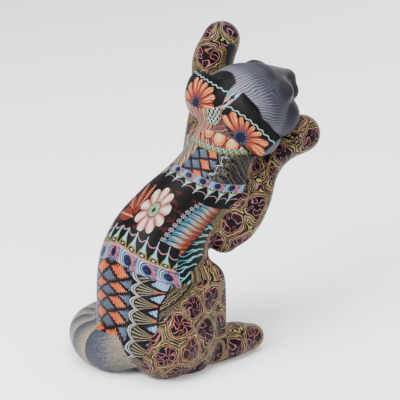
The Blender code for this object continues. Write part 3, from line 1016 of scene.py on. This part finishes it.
@in_group
def paint_ear(colour, place, line_start, line_slope, line_bend, heart_along, heart_up, first, top, rim):
    """Back of an ear: a black rim, a pale wavy line and a fan of orange petals."""
    along, up, out = parts(place)
    pale = slope(along * along, line_bend, line_start) + along * line_slope
    pale = pale + wave(along * 2.1) * 0.3
    radius, angle = length(along - heart_along, up - heart_up), turn_of(up - heart_up, along - heart_along)
    petal = size_of(part_of((angle + sway(5.0, 20)) * (1 / EAR_PETAL)) - 0.5) * 2
    gap = pale - up - 0.8 - petal * petal * 1.8
    inner = (above(gap, 0.0, 0.3) * below(radius + petal * 1.4, EAR_FAN_RADIUS, 0.4)
             * above(up, heart_up - 0.8, 1.0))
    back = paint(BLACK, NIGHT_GREEN, above(speck(2.0), 0.55, 0.1))
    grain = strokes(angle * 0.3 + speck(2.0) * 2)
    flame = paint(RUST_ORANGE, ORANGE, below(petal + speck(2.0) * 0.5, 0.7, 0.4) * above(radius, 4.6, 1.5))
    shine = above(grain, 0.54, 0.06) * between(petal, 0.1, 0.7, 0.3) * above(radius, 5.4, 1.5)
    flame.cover(PEACH, shine)
    flame.cover(PEACH_CREAM, line(petal, 0.34, 0.1, 0.16) * above(radius, 5.6, 2.0) * 0.8)
    flame.cover(RUST, above(petal, 0.62, 0.35))
    flame.cover(RUST, ramp(radius, 7.2, 3.6) * 0.8)
    flame.cover(RED_BROWN, below(grain, 0.43, 0.05))
    flame.cover(RED_BROWN, line(petal, 1.0, 0.2, 0.16))
    back.cover(flame, inner)
    core = 1.9 + 2.9 * (1 - petal) * (1 - petal)
    back.cover(GREY_BLUE, below(radius, core + 0.5, 0.3))
    back.cover(INK, below(radius, core, 0.3))
    back.cover(SOOT, above(up, pale, 0.3))
    back.cover(PALE_TEAL, line(up, pale, 0.22))
    back.cover(CROWN_GREY, above(along, rim, 0.8))
    inside = (between(along, first, EAR_OUTER_END, 0.6) * between(up, EAR_FOOT, top, 0.5)
              * above(out, EAR_BACK, 0.8))
    low = below(length(along * 0.62 - heart_along * 0.62, up - 2), 10.4, 0.5)
    return paint(colour, back, inside * low)


@in_group
def paint_tail(colour):
    """Grey-blue bands that fade to tan."""
    along, rise, aside = parts(surface("tail_place"))
    angle = work("ARCTAN2", aside, rise)
    reach = length(rise, aside)
    bow = 1 - work("COSINE", angle - math.radians(15))
    phase = part_of((along + bow * 1.6 - FIRST_BAND) * (1 / TAIL_BAND))
    fine = speck(0.9)
    band = paint(TAN_SAND, TAIL_TAN, fine)
    grey = paint(TAIL_BLUE, TAIL_GREY, above(fine, 0.5, 0.3))
    band.cover(TAIL_OLIVE, between(phase, 0.05, 0.45, 0.2) * 0.5)
    phase = phase + below(along, 19.3, 0.4) * (1 - phase) * 0.3
    hairs = strokes(angle * 14 + along * 0.4) - 0.5
    band.cover(grey, ramp(phase + (fine - 0.5) * 0.2 + hairs * 0.4, 0.1, 0.62))
    band.cover(TAIL_GREY, ramp(phase + hairs * 0.4, 0.6, 1.0))
    band.cover(OUTLINE, line(phase, 0.985, 0.012, 0.02) * 0.5)
    degrees = angle * math.degrees(1)
    root = above(along, TAIL_START, 0.4) * most(below(size_of(degrees) - along * 1.1, 50.0, 2.0),
                                                above(along, TAIL_CLEAR, 0.5))
    tail = root * below(reach + along * 0.055, TAIL_RADIUS, 0.3)
    return paint(colour, band, tail)


def new_material(name):
    material = bpy.data.materials.new(name)
    material.use_nodes = True
    return material, material.node_tree.nodes["Principled BSDF"]


def clay_material():
    global clay
    material, shader = new_material("patterned_clay")
    clay = material.node_tree
    add("TexCoord")
    colour = paint_slices()
    colour, up, around, reach = paint_back(colour)
    colour = paint_neck(colour, up, around, reach)
    colour = paint_head(colour, up, around)
    colour = paint_ear(colour, surface("right_ear_place"), *RIGHT_EAR)
    colour = paint_ear(colour, surface("left_ear_place"), *LEFT_EAR)
    colour = paint_tail(colour)
    join(colour, shader.inputs["Base Color"])
    join(slope(speck(3.0), CLAY_ROUGHNESS_SPREAD, CLAY_ROUGHNESS), shader.inputs["Roughness"])
    shader.inputs["Specular IOR Level"].default_value = CLAY_SPECULAR
    bump = add("Bump")
    bump.inputs["Strength"].default_value = BUMP_STRENGTH
    bump.inputs["Distance"].default_value = BUMP_DEPTH
    join(speck(0.7, 3.0), bump.inputs["Height"])
    clay.links.new(bump.outputs["Normal"], shader.inputs["Normal"])
    return material


def make_camera():
    """The photograph's camera, which looks so that the frame's origin falls on its pixel."""
    right = Vector((-math.cos(VIEW_TURN), -math.sin(VIEW_TURN), 0))
    toward = Vector((-math.sin(VIEW_TURN) * math.cos(VIEW_RISE), math.cos(VIEW_TURN) * math.cos(VIEW_RISE),
                     math.sin(VIEW_RISE)))
    up = toward.cross(right)
    middle = IMAGE_WIDTH_PX / 2
    aim = (right * (middle - ORIGIN_PX[0]) + up * (ORIGIN_PX[1] - middle)) * MM / PX_PER_MM
    data = bpy.data.cameras.new("camera")
    data.sensor_width = SENSOR_MM
    data.lens = SENSOR_MM * PX_PER_MM / MM * CAMERA_DISTANCE / IMAGE_WIDTH_PX
    camera = put_in_scene("camera", data)
    camera.location = toward * CAMERA_DISTANCE
    camera.rotation_euler = (camera.location - aim).to_track_quat("Z", "Y").to_euler()
    bpy.context.scene.camera = camera


def make_floor():
    bpy.ops.mesh.primitive_plane_add(size=FLOOR_WIDTH)
    floor = bpy.context.object
    floor.name = "floor"
    material, shader = new_material("floor")
    shader.inputs["Base Color"].default_value = (*FLOOR_COLOUR, 1)
    shader.inputs["Roughness"].default_value = FLOOR_ROUGHNESS
    floor.data.materials.append(material)


def make_light(name, place, size, power):
    """A soft square lamp that faces the middle of the cat."""
    data = bpy.data.lights.new(name, "AREA")
    data.size = size
    data.energy = power
    lamp = put_in_scene(name, data)
    lamp.location = place
    lamp.rotation_euler = (Vector(place) - LIT_POINT).to_track_quat("Z", "Y").to_euler()


def make_world():
    world = bpy.data.worlds.new("studio")
    world.use_nodes = True
    background = world.node_tree.nodes["Background"]
    background.inputs["Color"].default_value = (1, 1, 1, 1)
    background.inputs["Strength"].default_value = SKY_STRENGTH
    bpy.context.scene.world = world


skin = fine_skin()
write_surface(skin.data)
skin.data.materials.append(clay_material())
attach(skin, "root")
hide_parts(CAT)
make_camera()
make_floor()
make_world()
for lamp in LAMPS:
    make_light(*lamp)
